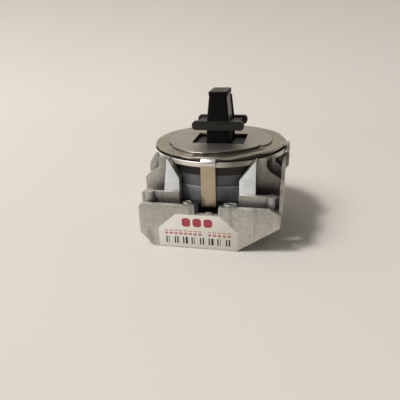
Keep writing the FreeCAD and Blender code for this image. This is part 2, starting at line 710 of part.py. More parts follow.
def wings(body):
    """Two cross bars, one before and one behind the neck, with a web between them."""
    for tag, front in (("front", s.wing_out), ("back", s.wing_thick - s.wing_out)):
        wing = new_sketch(body, "XZ_Plane", f"wing_{tag}", front - s.wing_thick)
        rectangle(wing, -s.wing_half, s.wing_half, s.wing_low, s.wing_high)
        pad(body, wing, s.wing_thick)
    web = new_sketch(body, "XY_Plane", "wing_web", s.wing_web_low)
    rectangle(web, -s.wing_web_half, s.wing_web_half, s.wing_web_inset - s.wing_out,
              s.wing_out - s.wing_web_inset)
    pad(body, web, s.wing_web_high - s.wing_web_low)
    round_edges(body, lambda edge, mid: abs(abs(mid.x) - s.wing_half.number) < CLOSE
                and abs(edge.BoundBox.YLength - s.wing_thick.number) < CLOSE,
                s.wing_end_round, "wing_ends")


def nose_hollows(body, neck_top):
    """The wires' channel, the seats of the three guides, and the dowels' seats below."""
    mouth = new_sketch(body, "XY_Plane", "channel_mouth", nose_low)
    rectangle(mouth, -s.channel_foot, s.channel_foot, -s.channel_foot, s.channel_foot)
    outlet = new_sketch(body, "XY_Plane", "channel_outlet", neck_top)
    rectangle(outlet, -s.channel_tip_x, s.channel_tip_x, -s.channel_tip_y, s.channel_tip_y)
    channel = body.newObject("PartDesign::SubtractiveLoft", "wire_channel")
    channel.Profile = mouth
    channel.Sections = [outlet]
    channel.Ruled = True
    seats = (("tip_seat", s.nose_top, s.tip_half_x, s.tip_half_y, s.tip_guide_thick),
             ("tip_throat", s.nose_top - s.tip_guide_thick, s.channel_tip_x, s.channel_tip_y,
              s.cap_tall - s.tip_guide_thick),
             ("middle_seat", s.middle_guide_low + s.guide_thick, s.middle_guide_x,
              s.middle_guide_y, s.guide_thick),
             ("rear_seat", s.rear_guide_low + s.guide_thick, s.rear_guide_half,
              s.rear_guide_half, s.guide_thick))
    for name, top, half_x, half_y, deep in seats:
        seat = new_sketch(body, "XY_Plane", name, top)
        rectangle(seat, -half_x, half_x, -half_y, half_y)
        pocket(body, seat, deep)
    under = new_sketch(body, "XY_Plane", "dowel_seats", dowel_top)
    for side in (-1, 1):
        circle(under, s.dowel_radius, s.dowel_circle * side, 0)
    pocket(body, under, dowel_top - nose_low)


def nose_housing():
    body = new_body("nose_housing")
    flange = new_sketch(body, "XY_Plane", "nose_flange", nose_low)
    circle(flange, s.stack_radius)
    pad(body, flange, s.nose_flange_top - nose_low)
    raised = new_sketch(body, "XY_Plane", "nose_pad", s.nose_flange_top - s.pad_sunk)
    rectangle(raised, -s.pad_half_x, s.pad_half_x, -s.pad_half_y, s.pad_half_y)
    pad(body, raised, s.pad_top - s.nose_flange_top + s.pad_sunk)
    neck_top = s.nose_top - s.cap_tall
    neck(body, neck_top)
    wings(body)
    reach = s.foot_half_x.number + CLOSE
    front = CLOSE - s.neck_half_y.number
    round_edges(body, lambda edge, mid: edge.BoundBox.ZLength > 1 and abs(mid.x) < reach
                and mid.y < front and mid.z > s.pad_top.number, s.neck_round, "neck_corners")
    round_edges(body, lambda edge, mid: abs(mid.z - s.nose_top.number) < CLOSE
                and (abs(mid.x) > s.channel_foot.number / 2 or mid.y < front),
                s.cap_round, "cap_edges")
    nose_hollows(body, neck_top)
    return keep(body, "nose_housing")


# ---------------------------------------------------------------- clamp

def clamp_plate():
    """Pressed spring steel: a stepped disc, two straps that hook the heat sink, and a side tab."""
    body = new_body("clamp_plate")
    low = s.ring_top
    high = s.ring_top + s.clamp_thick
    section = new_sketch(body, "XZ_Plane", "clamp_section")
    polygon(section, [
        (0, low + s.clamp_raise), (s.clamp_step - s.step_run, low + s.clamp_raise),
        (s.clamp_step, low), (s.clamp_radius, low), (s.clamp_radius, high),
        (s.clamp_step + s.step_run, high),
        (s.clamp_step, high + s.clamp_raise), (0, high + s.clamp_raise)])
    revolve(body, section)
    window = new_sketch(body, "XY_Plane", "clamp_window", high + s.clamp_raise + PAST)
    rectangle(window, -s.window_half_x, s.window_half_x, -s.window_half_y, s.window_half_y)
    pocket(body, window, s.clamp_thick + s.clamp_raise + PAST * 2)
    for tag, side in (("front", -1), ("back", 1)):
        strap = new_sketch(body, "YZ_Plane", f"strap_{tag}", -s.strap_half)
        out = s.strap_out * side
        inside = (s.strap_out - s.clamp_thick) * side
        toe = (s.strap_out - s.clamp_thick - s.toe_reach) * side
        polygon(strap, [
            ((s.clamp_radius - s.strap_lap) * side, low), (inside, low),
            (inside, s.strap_toe + s.clamp_thick),
            (toe, s.strap_toe + s.clamp_thick), (toe, s.strap_toe), (out, s.strap_toe), (out, high),
            ((s.clamp_radius - s.strap_lap) * side, high)])
        pad(body, strap, s.strap_half * 2)
    tab = new_sketch(body, "XZ_Plane", "side_tab")
    polygon(tab, [
        (s.clamp_radius - s.strap_lap, low), (s.tab_out - s.tab_neck, low),
        (s.tab_out - s.tab_neck, s.nose_flange_top - s.tab_step_high),
        (s.tab_out - s.tab_thick, s.nose_flange_top - s.tab_step_low),
        (s.tab_out - s.tab_thick, s.tab_low), (s.tab_out - s.tab_neck, s.tab_low),
        (s.tab_out, s.tab_low + s.tab_toe), (s.tab_out, high - s.tab_bevel),
        (s.tab_out - s.tab_bevel, high), (s.clamp_radius - s.strap_lap, high)])
    pad(body, tab, s.tab_wide)
    flange = new_sketch(body, "XZ_Plane", "tab_flange", s.tab_wide - s.tab_flange_thick)
    polygon(flange, [
        (s.tab_flange_in, s.tab_low), (s.tab_out - s.tab_neck, s.tab_low),
        (s.tab_out, s.tab_low + s.tab_toe), (s.tab_out, s.tab_flange_top),
        (s.tab_flange_in, s.tab_flange_top)])
    pad(body, flange, s.tab_flange_thick)
    out, top, toe = s.strap_out.number, high.number, s.strap_toe.number
    round_edges(body, lambda edge, mid: abs(edge.BoundBox.XLength - 2 * s.strap_half.number) < CLOSE
                and abs(abs(mid.y) - out) < CLOSE
                and min(abs(mid.z - top), abs(mid.z - toe)) < CLOSE, s.bend_round, "strap_bends")
    return keep(body, "clamp_plate")


# ---------------------------------------------------------------- board

def circuit_board():
    body = new_body("circuit_board")
    face = new_sketch(body, "XY_Plane", "board_face", board_low)
    circle(face, s.board_radius)
    pad(body, face, s.board_thick)
    tongue = new_sketch(body, "XY_Plane", "board_tongue", board_low)
    rectangle(tongue, -s.tongue_half, s.tongue_half, s.tongue_root, s.tongue_out)
    pad(body, tongue, s.board_thick)
    slot = new_sketch(body, "XY_Plane", "board_slot", board_high)
    rectangle(slot, -s.board_slot_half, s.board_slot_half, s.board_slot_in,
              s.strap_out + s.board_slot_room)
    pocket(body, slot, s.board_thick)
    holes = new_sketch(body, "XY_Plane", "board_holes", board_high)
    for index in range(WIRE_COUNT):
        for across, up in pin_places(index):
            circle(holes, s.pin_radius + s.gap, across, up)
    pocket(body, holes, s.board_thick)
    return keep(body, "circuit_board")


def contact_fingers():
    solids = []
    count = int(s.finger_count.number)
    for level, low in (("top", board_high), ("under", board_low - s.finger_thick)):
        for index in range(count):
            centre = s.finger_pitch * (index - (count - 1) / 2)
            solids.append(box(f"finger_{level}_{index + 1}", centre - s.finger_wide / 2,
                              s.finger_wide, s.tongue_out - s.finger_long - s.finger_inset,
                              s.finger_long, low, s.finger_thick))
    return group("contact_fingers", solids)


def insulating_film():
    body = new_body("insulating_film")
    face = new_sketch(body, "XY_Plane", "film_face", s.base_thick)
    circle(face, s.board_radius - s.film_inset)
    pad(body, face, s.film_thick - s.film_slack)
    return keep(body, "insulating_film")


# ---------------------------------------------------------------- assembly

finish_heat_sink(heat_sink())
warning_label()
insulating_film()
circuit_board()
contact_fingers()
terminal_pins()
keep(cylinder("thermistor_bead", s.bead_radius, s.bead_tall, board_high), "thermistor")
base_yoke()
magnet_cores()
coils()
ring("ring_magnet", s.stack_radius, s.stack_inner, magnet_low, s.magnet_thick, False)
ring("side_yoke", s.stack_radius, s.stack_inner, side_yoke_low, s.side_yoke_thick, False)
ring("shim_ring", s.stack_radius - s.shim_inset, s.stack_inner, core_top, s.shim_thick)
ring("leaf_spring_plate", s.stack_radius, s.pivot_circle + s.pivot_room, leaf_low, s.leaf_thick)
ring("spring_spacer", s.stack_radius - s.gap, s.pivot_circle + s.pivot_room, spacer_low,
     s.spacer_thick)
armature_yoke()
dowels()
for arm in range(WIRE_COUNT):
    armature(arm)
    print_wire(arm)
guide("rear_guide", s.rear_guide_low, s.rear_guide_half, s.rear_guide_half, s.rear_guide_room)
guide("middle_guide", s.middle_guide_low, s.middle_guide_x, s.middle_guide_y, s.middle_guide_room)
tip_guide()
nose_housing()
ring("oil_felt", s.felt_outer, s.felt_inner, nose_low + s.felt_lift, s.felt_tall, False)
ring("pressure_ring", s.ring_radius, s.ring_inner, s.nose_flange_top,
     s.ring_top - s.nose_flange_top, False)
clamp_plate()
doc.recompute()

for item in doc.Objects:
    if "Invalid" in item.State or "Error" in item.State:
        raise RuntimeError(f"{item.Label} did not recompute: {item.State}")
os.makedirs("parts", exist_ok=True)
for node in nodes:
    shape = node.Shape
    if shape.isNull() or not shape.isValid():
        raise RuntimeError(f"{node.Label} has no valid shape")
    shape.exportStep(f"parts/{node.Label}.step")
    print(f"{node.Label}: {len(shape.Solids)} solid(s), {shape.Volume:.2f} mm3")
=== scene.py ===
import math

import bmesh
import bpy
from mathutils import Matrix, Vector, noise


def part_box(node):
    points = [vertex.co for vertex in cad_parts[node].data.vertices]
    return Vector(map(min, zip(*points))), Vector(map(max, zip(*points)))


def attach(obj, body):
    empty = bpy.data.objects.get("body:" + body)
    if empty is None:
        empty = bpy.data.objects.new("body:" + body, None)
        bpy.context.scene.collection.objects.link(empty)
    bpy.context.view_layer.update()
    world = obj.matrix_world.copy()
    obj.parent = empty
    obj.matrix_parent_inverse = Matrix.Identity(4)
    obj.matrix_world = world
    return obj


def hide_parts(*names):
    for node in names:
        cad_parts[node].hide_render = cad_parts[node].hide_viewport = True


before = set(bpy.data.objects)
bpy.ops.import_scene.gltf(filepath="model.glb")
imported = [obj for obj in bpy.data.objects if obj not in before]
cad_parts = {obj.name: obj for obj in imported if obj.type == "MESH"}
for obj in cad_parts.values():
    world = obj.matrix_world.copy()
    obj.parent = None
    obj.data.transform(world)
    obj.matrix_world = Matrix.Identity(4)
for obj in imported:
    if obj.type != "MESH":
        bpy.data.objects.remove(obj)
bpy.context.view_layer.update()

# Sizes, places, reaches and depths are in millimetres unless a comment says otherwise.
MM = 0.001
HEAD = "head"

# The clamp's sheet and disc. Its underside rises towards the rim, so that the rim is thinner.
SHEET = 0.6
CLAMP_TOP = 27.2
CLAMP_RIM = 26.8
CLAMP_REACH = 21.3
WINDOW_HALF = (8.4, 6.4)
COINED_FROM = 19.6
COINED_BY = 0.2
EDGE_BY = 0.29

# The two straps that hold the clamp down.
STRAP_OUTSIDE = 22.3
STRAP_HALF = 2.18
STRAP_BEND = 1.25
STRAP_TOP = 26.55
STRAP_FOOT = 11.72
SHOULDER = 20.6

# The colour of the painted shade in the corners of sheet steel and of the pressure ring.
CORNER_SHADE_TONE = (0.05, 0.045, 0.035)


# ---------------------------------------------------------------- node material helpers

class Shader:
    """A principled material built from procedural nodes in the object's own coordinates."""

    def __init__(self, name, roughness=0.5, metallic=0.0, coat=0.0, specular=0.5):
        self.material = bpy.data.materials.new(name)
        self.material.use_nodes = True
        self.tree = self.material.node_tree
        self.shader = self.tree.nodes["Principled BSDF"]
        self.shader.inputs["Roughness"].default_value = roughness
        self.shader.inputs["Metallic"].default_value = metallic
        self.shader.inputs["Coat Weight"].default_value = coat
        self.shader.inputs["Specular IOR Level"].default_value = specular
        coordinates = self.tree.nodes.new("ShaderNodeTexCoord")
        self.place = coordinates.outputs["Object"]

    def add(self, kind, **values):
        node = self.tree.nodes.new(kind)
        for key, value in values.items():
            setattr(node, key, value)
        return node

    def link(self, source, target):
        self.tree.links.new(source, target)

    def stretched(self, scale, tilt=0.0):
        """Object coordinates scaled along each axis and tilted about Y, for grain that runs one way."""
        mapping = self.add("ShaderNodeMapping")
        mapping.inputs["Scale"].default_value = scale
        mapping.inputs["Rotation"].default_value = (0.0, math.radians(tilt), 0.0)
        self.link(self.place, mapping.inputs["Vector"])
        return mapping.outputs["Vector"]

    def noise(self, scale, detail=4.0, rough=0.6, vector=None, distort=0.0):
        node = self.add("ShaderNodeTexNoise")
        node.inputs["Scale"].default_value = scale
        node.inputs["Detail"].default_value = detail
        node.inputs["Roughness"].default_value = rough
        node.inputs["Distortion"].default_value = distort
        self.link(vector or self.place, node.inputs["Vector"])
        return node.outputs["Fac"]

    def ramp(self, factor, stops):
        """Colour stops as (position, (r, g, b)) or (position, grey)."""
        node = self.add("ShaderNodeValToRGB")
        elements = node.color_ramp.elements
        while len(elements) < len(stops):
            elements.new(0.5)
        for element, (position, tone) in zip(elements, stops):
            element.position = position
            rgb = tone if isinstance(tone, tuple) else (tone, tone, tone)
            element.color = (*rgb, 1.0)
        self.link(factor, node.inputs["Fac"])
        return node.outputs["Color"]

    def mix(self, factor, first, second):
        """The first colour where the factor is 0 and the second where it is 1."""
        node = self.add("ShaderNodeMix", data_type="RGBA")
        if isinstance(factor, float):
            node.inputs["Factor"].default_value = factor
        else:
            self.link(factor, node.inputs["Factor"])
        for socket, colour in (("A", first), ("B", second)):
            target = next(i for i in node.inputs if i.name == socket and i.type == "RGBA")
            if isinstance(colour, tuple):
                target.default_value = (*colour, 1.0)
            else:
                self.link(colour, target)
        return next(o for o in node.outputs if o.type == "RGBA")

    def combine(self, operation, values):
        node = self.add("ShaderNodeMath", operation=operation)
        for socket, value in zip(node.inputs, values):
            if isinstance(value, (int, float)):
                socket.default_value = value
            else:
                self.link(value, socket)
        return node.outputs["Value"]

    def times(self, *values):
        return self.combine("MULTIPLY", values)

    def plus(self, *values):
        return self.combine("ADD", values)

    def colour(self, source):
        self.link(source, self.shader.inputs["Base Color"])

    def roughness(self, factor, low, high):
        node = self.add("ShaderNodeMapRange")
        node.inputs["To Min"].default_value = low
        node.inputs["To Max"].default_value = high
        self.link(factor, node.inputs["Value"])
        self.link(node.outputs["Result"], self.shader.inputs["Roughness"])

    def bump(self, height, strength, depth):
        node = self.add("ShaderNodeBump")
        node.inputs["Strength"].default_value = strength
        node.inputs["Distance"].default_value = depth * MM
        self.link(height, node.inputs["Height"])
        self.link(node.outputs["Normal"], self.shader.inputs["Normal"])

    def height_in(self, axis, low, high):
        """0 at one place and 1 at the other along an axis of the object."""
        split = self.add("ShaderNodeSeparateXYZ")
        self.link(self.place, split.inputs["Vector"])
        node = self.add("ShaderNodeMapRange")
        node.inputs["From Min"].default_value = low * MM
        node.inputs["From Max"].default_value = high * MM
        self.link(split.outputs[axis], node.inputs["Value"])
        return node.outputs["Result"]


# Cosines of the lean at which an edge begins to brighten, as wear and as a painted highlight, and at which
# it is fully bright.
EDGE_BRIGHTENS_FROM = 0.995
EDGE_FULLY_BRIGHT = 0.90


def edge_wear_and_sheen(shader, reach):
    """1 along edges and 0 on flats: how far the rounded normal leans away from the true one. It brightens
    edges as wear and as a painted highlight.
    """
    rounded = shader.add("ShaderNodeBevel", samples=4)
    rounded.inputs["Radius"].default_value = reach * MM
    geometry = shader.add("ShaderNodeNewGeometry")
    lean = shader.add("ShaderNodeVectorMath", operation="DOT_PRODUCT")
    shader.link(rounded.outputs["Normal"], lean.inputs[0])
    shader.link(geometry.outputs["Normal"], lean.inputs[1])
    node = shader.add("ShaderNodeMapRange")
    node.inputs["From Min"].default_value = EDGE_BRIGHTENS_FROM
    node.inputs["From Max"].default_value = EDGE_FULLY_BRIGHT
    shader.link(lean.outputs["Value"], node.inputs["Value"])
    return node.outputs["Result"]


def corner_shade_mask(shader, reach, lowest, highest, own_only=False):
    """1 deep in corners and behind neighbouring pieces, 0 on open faces: where shade is painted."""
    hidden = shader.add("ShaderNodeAmbientOcclusion", samples=6, only_local=own_only)
    hidden.inputs["Distance"].default_value = reach * MM
    node = shader.add("ShaderNodeMapRange")
    node.inputs["From Min"].default_value = highest
    node.inputs["From Max"].default_value = lowest
    shader.link(hidden.outputs["AO"], node.inputs["Value"])
    return node.outputs["Result"]


# ---------------------------------------------------------------- materials

def cast_aluminium():
    """Die-cast metal: mottled, scuffed, smudged and oily under the clamp's hook, with painted shade in its
    corners, on its right side and in the well where the strap hooks, and edges worn bright with a painted
    highlight.
    """
    m = Shader("cast_aluminium", metallic=0.9)
    clouds = m.noise(150, 6, 0.65)
    grit = m.noise(2300, 5, 0.72)
    grains = m.noise(1250, 5, 0.8)
    base = m.ramp(clouds, [(0.28, (0.50, 0.482, 0.44)), (0.5, (0.61, 0.592, 0.545)),
                           (0.75, (0.72, 0.70, 0.645))])
    mottled = m.mix(m.ramp(grains, [(0.30, 0.65), (0.46, 0.0)]), base, (0.22, 0.21, 0.18))
    speckled = m.mix(m.ramp(grains, [(0.54, 0.0), (0.70, 0.6)]), mottled, (0.85, 0.84, 0.80))
    smudge = m.ramp(m.noise(105, 6, 0.8, distort=1.2), [(0.56, 0.0), (0.68, 1.0)])
    # Smudges darken more to the right: real smudges, plus painted shade on the side away from the lamps.
    shade_to_right = m.plus(m.times(m.height_in("X", 2, 19), 0.5), 0.32)
    smudged_and_shaded = m.mix(m.times(smudge, shade_to_right), speckled, (0.12, 0.11, 0.09))
    scuffs = m.ramp(m.noise(420, 5, 0.7, m.stretched((1.0, 1.0, 0.16), 58)), [(0.54, 0.0), (0.66, 1.0)])
    smudged_and_shaded = m.mix(m.times(scuffs, 0.4), smudged_and_shaded, (0.20, 0.19, 0.165))
    # Painted shade in the casting's own corners.
    corners_shaded = m.mix(m.times(corner_shade_mask(m, 11, 0.18, 0.86, True), 0.95), smudged_and_shaded, (0.045, 0.043, 0.041))
    oily = m.times(m.height_in("X", 12, 17), m.height_in("Z", 15.5, 18.5))
    stained = m.mix(m.times(oily, m.plus(m.times(grains, 0.4), 0.25)), corners_shaded, (0.20, 0.165, 0.13))
    # Near black in the well where the strap hooks: painted shade.
    beside = m.times(m.height_in("X", -5.2, -4.2), m.height_in("X", 5.2, 4.2))
    within = m.times(m.height_in("Y", -25.0, -24.5), m.height_in("Z", 14.6, 13.6))
    hook_well_shade = m.times(beside, within)
    # Edges worn bright, with a painted highlight along them.
    wear_and_painted_light = m.mix(m.times(edge_wear_and_sheen(m, 0.16), 0.6), stained, (0.88, 0.87, 0.84))
    m.colour(m.mix(m.times(hook_well_shade, 0.93), wear_and_painted_light, (0.012, 0.011, 0.010)))
    m.roughness(clouds, 0.40, 0.58)
    m.bump(m.plus(m.times(grit, 0.8), clouds), 0.5, 0.13)
    return m.material


def milled_aluminium():
    """The bright faces beside the clamp's strap, with upright cutter lines."""
    m = Shader("milled_aluminium", metallic=0.45)
    lines = m.noise(700, 3, 0.6, m.stretched((1.0, 1.0, 0.14)))
    patches = m.noise(330, 5, 0.6)
    base = m.ramp(patches, [(0.34, (0.76, 0.79, 0.82)), (0.5, (0.92, 0.94, 0.96)),
                            (0.68, (0.99, 0.995, 1.0))])
    m.colour(m.mix(m.times(lines, 0.25), base, (0.98, 0.985, 0.99)))
    m.roughness(lines, 0.40, 0.52)
    m.bump(lines, 0.14, 0.04)
    return m.material


def spring_steel(name, dark, light, grain, low=0.24, high=0.38, corner_shade_strength=0.8, open_sky=0.66, metallic=1.0,
                 highlight_above=None):
    """Spring sheet with its grain along one axis, with painted shade in its corners, edges worn bright with
    a painted highlight, and a painted highlight above a height.
    """
    m = Shader(name, metallic=metallic)
    lines = m.noise(1100, 4, 0.65, m.stretched(grain))
    clouds = m.noise(150, 6, 0.65, distort=0.6)
    base = m.mix(m.times(lines, 0.5), m.ramp(clouds, [(0.3, dark), (0.7, light)]), light)
    # A painted highlight on the bend above a height.
    if highlight_above:
        base = m.mix(m.height_in("Z", highlight_above - 0.6, highlight_above + 0.2), base, (0.96, 0.94, 0.91))
    # Painted shade in corners and behind neighbouring pieces.
    shaded_sheet = m.mix(m.times(corner_shade_mask(m, 2.2, 0.15, open_sky), corner_shade_strength), base, CORNER_SHADE_TONE)
    m.colour(m.mix(m.times(edge_wear_and_sheen(m, 0.08), 0.4), shaded_sheet, (0.78, 0.76, 0.72)))
    m.roughness(m.plus(m.times(clouds, 0.6), m.times(lines, 0.4)), low, high)
    m.bump(lines, 0.22, 0.03)
    return m.material


def plated_ring():
    """Pale plating with turning marks, with painted shade over its front right and in its corners."""
    m = Shader("plated_ring", metallic=0.5)
    clouds = m.noise(200, 5, 0.6)
    turned = m.noise(1500, 2, 0.5, m.stretched((0.02, 0.02, 1.0)))
    base = m.ramp(clouds, [(0.3, (0.80, 0.755, 0.69)), (0.7, (0.90, 0.86, 0.79))])
    # Painted shade over the ring's front right.
    wear_and_painted_light = m.times(m.height_in("X", 0.5, 7), m.height_in("X", 19.5, 16.5))
    shaded_right = m.mix(m.times(wear_and_painted_light, 0.9), base, (0.22, 0.20, 0.175))
    # Painted shade in the ring's corners.
    m.colour(m.mix(m.times(corner_shade_mask(m, 1.2, 0.1, 0.55), 0.95), shaded_right, CORNER_SHADE_TONE))
    m.roughness(turned, 0.34, 0.50)
    m.bump(turned, 0.1, 0.03)
    return m.material


def pole_steel(name, dark, light, metallic=0.6, corner_shade_strength=0.7, black_below=None):
    """Turned steel of the stack, with painted light that makes it brighter to the left, near black below a
    height, painted shade in its corners, and edges worn bright with a painted highlight.
    """
    m = Shader(name, metallic=metallic)
    clouds = m.noise(260, 5, 0.65)
    turned = m.noise(1800, 2, 0.5, m.stretched((0.03, 0.03, 1.0)))
    # Painted light: brighter to the left, the side the lamps are on.
    lit_left_painted = m.times(m.height_in("X", 6, -14), 0.7)
    base = m.mix(lit_left_painted, m.ramp(clouds, [(0.3, dark), (0.72, light)]), tuple(v * 1.9 for v in light))
    # Near black below a height.
    if black_below:
        base = m.mix(m.height_in("Z", black_below + 0.5, black_below - 0.7), base,
                     (0.012, 0.012, 0.013))
    shaded = m.mix(m.times(corner_shade_mask(m, 8, 0.05, 0.8), corner_shade_strength), base, (0.02, 0.021, 0.024))
    m.colour(m.mix(m.times(edge_wear_and_sheen(m, 0.13), 0.7), shaded, (0.5, 0.5, 0.5)))
    m.roughness(turned, 0.34, 0.52)
    m.bump(m.plus(turned, clouds), 0.12, 0.04)
    return m.material


def moulded(name, dark, light, low=0.38, high=0.62, specular=0.5):
    """Moulded plastic with a fine grain, and paler edges that are worn and a painted highlight."""
    m = Shader(name, specular=specular)
    clouds = m.noise(180, 4, 0.6)
    fine = m.noise(2200, 4, 0.65)
    wear_and_painted_light = m.times(edge_wear_and_sheen(m, 0.12), 0.3)
    base = m.ramp(clouds, [(0.3, dark), (0.75, light)])
    m.colour(m.mix(wear_and_painted_light, base, tuple(v * 3 + 0.01 for v in light)))
    m.roughness(clouds, low, high)
    m.bump(fine, 0.25, 0.06)
    return m.material


def printed_label():
    """Yellowed label film with faint fibres."""
    m = Shader("printed_label")
    fibres = m.noise(1600, 5, 0.7)
    clouds = m.noise(170, 4, 0.55)
    faint = m.times(fibres, 0.12)
    base = m.ramp(clouds, [(0.3, (0.82, 0.78, 0.70)), (0.7, (0.90, 0.865, 0.79))])
    m.colour(m.mix(faint, base, (0.66, 0.64, 0.58)))
    m.roughness(fibres, 0.42, 0.6)
    m.bump(clouds, 0.1, 0.05)
    return m.material


def ink(name, dark, light):
    """Flat print, or painted shade in gaps, a little uneven."""
    m = Shader(name)
    wear_and_painted_light = m.noise(2400, 5, 0.7)
    m.colour(m.ramp(wear_and_painted_light, [(0.35, dark), (0.75, light)]))
    m.roughness(wear_and_painted_light, 0.45, 0.65)
    return m.material


def laminate():
    """Solder-masked glass laminate with its weave."""
    m = Shader("laminate", coat=0.3)
    weave = m.add("ShaderNodeTexBrick")
    weave.inputs["Scale"].default_value = 900
    weave.inputs["Color1"].default_value = (0.020, 0.115, 0.050, 1)
    weave.inputs["Color2"].default_value = (0.028, 0.150, 0.065, 1)
    weave.inputs["Mortar"].default_value = (0.016, 0.085, 0.040, 1)
    m.link(m.place, weave.inputs["Vector"])
    m.colour(m.mix(m.times(m.noise(150), 0.3), weave.outputs["Color"], (0.05, 0.18, 0.08)))
    m.roughness(m.noise(400), 0.25, 0.4)
    m.bump(weave.outputs["Fac"], 0.1, 0.03)
    return m.material


def plated(name, dark, light):
    """Bright metal with fine handling marks."""
    m = Shader(name, metallic=1.0)
    marks = m.noise(900, 5, 0.65)
    m.colour(m.ramp(marks, [(0.3, dark), (0.7, light)]))
    m.roughness(marks, 0.18, 0.34)
    m.bump(marks, 0.08, 0.03)
    return m.material


def wound_wire():
    """Enamelled copper, banded by its turns."""
    m = Shader("wound_wire", metallic=0.6, coat=0.5)
    turns = m.add("ShaderNodeTexWave", bands_direction="Z")
    turns.inputs["Scale"].default_value = 1500
    turns.inputs["Distortion"].default_value = 0.6
    m.link(m.place, turns.inputs["Vector"])
    m.colour(m.ramp(turns.outputs["Fac"], [(0.1, (0.12, 0.03, 0.008)), (0.8, (0.55, 0.20, 0.06))]))
    m.roughness(turns.outputs["Fac"], 0.25, 0.45)
    m.bump(turns.outputs["Fac"], 0.6, 0.1)
    return m.material


def felt():
    """Oiled felt with loose fibres."""
    m = Shader("oiled_felt", roughness=0.95)
    fibres = m.noise(3500, 6, 0.8, distort=2.0)
    m.colour(m.ramp(fibres, [(0.3, (0.30, 0.27, 0.18)), (0.7, (0.55, 0.50, 0.38))]))
    m.bump(fibres, 0.8, 0.2)
    return m.material


def granular():
    """The nose's end face: rough, greyed with ribbon ink and paper dust."""
    m = Shader("inked_guide")
    grains = m.noise(1500, 6, 0.75)
    m.colour(m.ramp(grains, [(0.36, (0.018, 0.017, 0.012)), (0.5, (0.055, 0.053, 0.042)),
                             (0.68, (0.16, 0.152, 0.125))]))
    m.roughness(grains, 0.5, 0.8)
    m.bump(grains, 0.5, 0.1)
    return m.material


# Grain for spring_steel: the axis with the small scale is the one the lines run along.
EVEN = (1.0, 1.0, 1.0)
ALONG_Y = (1.0, 0.16, 1.0)
ALONG_Z = (1.0, 1.0, 0.1)

MATERIALS = {
    "casting": cast_aluminium(),
    "cheek": milled_aluminium(),
    "clamp": spring_steel("clamp_steel", (0.39, 0.358, 0.315), (0.55, 0.517, 0.462), ALONG_Y, 0.33, 0.46),
    "rim": spring_steel("clamp_rim_steel", (0.29, 0.262, 0.215), (0.52, 0.487, 0.415), EVEN, 0.34, 0.5,
                        open_sky=0.8),
    # The strap's bend gets a painted highlight.
    "strap": spring_steel("strap_steel", (0.44, 0.352, 0.258), (0.57, 0.467, 0.35), ALONG_Z, 0.3, 0.4,
                          corner_shade_strength=0.35, metallic=0.85, highlight_above=25.2),
    # Dark steel for the trough in front of the disc's step: painted shade.
    "trough": spring_steel("trough_shade_steel", (0.085, 0.078, 0.058), (0.19, 0.175, 0.14), EVEN, 0.4, 0.6),
    # Near black painted shade for the faces inside gaps.
    "gap": ink("gap_shade_ink", (0.010, 0.009, 0.008), (0.030, 0.027, 0.022)),
    "ring": plated_ring(),
    # Darker olive steel for the tab's flange: painted shade.
    "shaded_sheet": spring_steel("flange_shade_steel", (0.15, 0.14, 0.10), (0.30, 0.285, 0.22), EVEN, 0.4, 0.6),
    "pole": pole_steel("pole_steel", (0.088, 0.093, 0.105), (0.145, 0.152, 0.167)),
    "side_yoke": pole_steel("side_yoke_steel", (0.18, 0.19, 0.215), (0.275, 0.29, 0.32), corner_shade_strength=0.1,
                            black_below=13.0),
    "leaf": pole_steel("leaf_steel", (0.40, 0.40, 0.39), (0.60, 0.60, 0.58)),
    "magnet": pole_steel("sintered_magnet", (0.05, 0.05, 0.055), (0.09, 0.09, 0.10), metallic=0.2),
    "nose": moulded("nose_plastic", (0.0024, 0.0022, 0.0020), (0.005, 0.0046, 0.0042), 0.5, 0.7,
                    specular=0.12),
    "bar": moulded("nose_bar_plastic", (0.010, 0.0095, 0.009), (0.018, 0.017, 0.016), 0.34, 0.48,
                   specular=0.4),
    "pad": moulded("nose_pad_plastic", (0.024, 0.021, 0.022), (0.044, 0.040, 0.041), specular=0.34),
    # Lighter plastic on the neck's flanks: painted reflection of the bright floor and backdrop.
    "flank": moulded("nose_flank_reflection_plastic", (0.021, 0.020, 0.0185), (0.038, 0.0365, 0.0335), 0.3, 0.42),
    "bobbin": moulded("bobbin_plastic", (0.02, 0.02, 0.022), (0.04, 0.04, 0.045)),
    "guide": granular(),
    "label": printed_label(),
    "red": ink("red_ink", (0.42, 0.035, 0.06), (0.55, 0.10, 0.12)),
    "pink": ink("thin_red_ink", (0.55, 0.16, 0.17), (0.62, 0.28, 0.27)),
    "black": ink("black_ink", (0.012, 0.012, 0.012), (0.045, 0.042, 0.04)),
    "board": laminate(),
    "gold": plated("gold_plate", (0.66, 0.44, 0.13), (0.86, 0.63, 0.24)),
    "tin": plated("tinned", (0.55, 0.55, 0.53), (0.75, 0.75, 0.73)),
    "wire": plated("drawn_wire", (0.45, 0.45, 0.47), (0.70, 0.70, 0.72)),
    "winding": wound_wire(),
    "bead": moulded("bead_epoxy", (0.03, 0.02, 0.012), (0.06, 0.04, 0.02), 0.15, 0.3),
    "film": moulded("amber_film", (0.45, 0.24, 0.05), (0.60, 0.34, 0.08), 0.2, 0.35),
    "felt": felt(),
}


# ---------------------------------------------------------------- mesh helpers

# Vertices closer than WELD, in metres, are one. Angles between faces, in degrees: below FLAT the
# CAD's facets are one face, from ROUNDED on an edge gets a round, and from CRISP on it stays sharp.
WELD = 1e-6
FLAT = 1.0
ROUNDED = 32
CRISP = 30


def in_scene(name, data):
    """A new object for a mesh, a light or a camera."""
    holder = bpy.data.objects.new(name, data)
    bpy.context.scene.collection.objects.link(holder)
    return holder


def coat(mesh, *materials):
    """Material slots in the order given, in place of any the mesh has."""
    mesh.materials.clear()
    for item in materials:
        mesh.materials.append(MATERIALS[item])


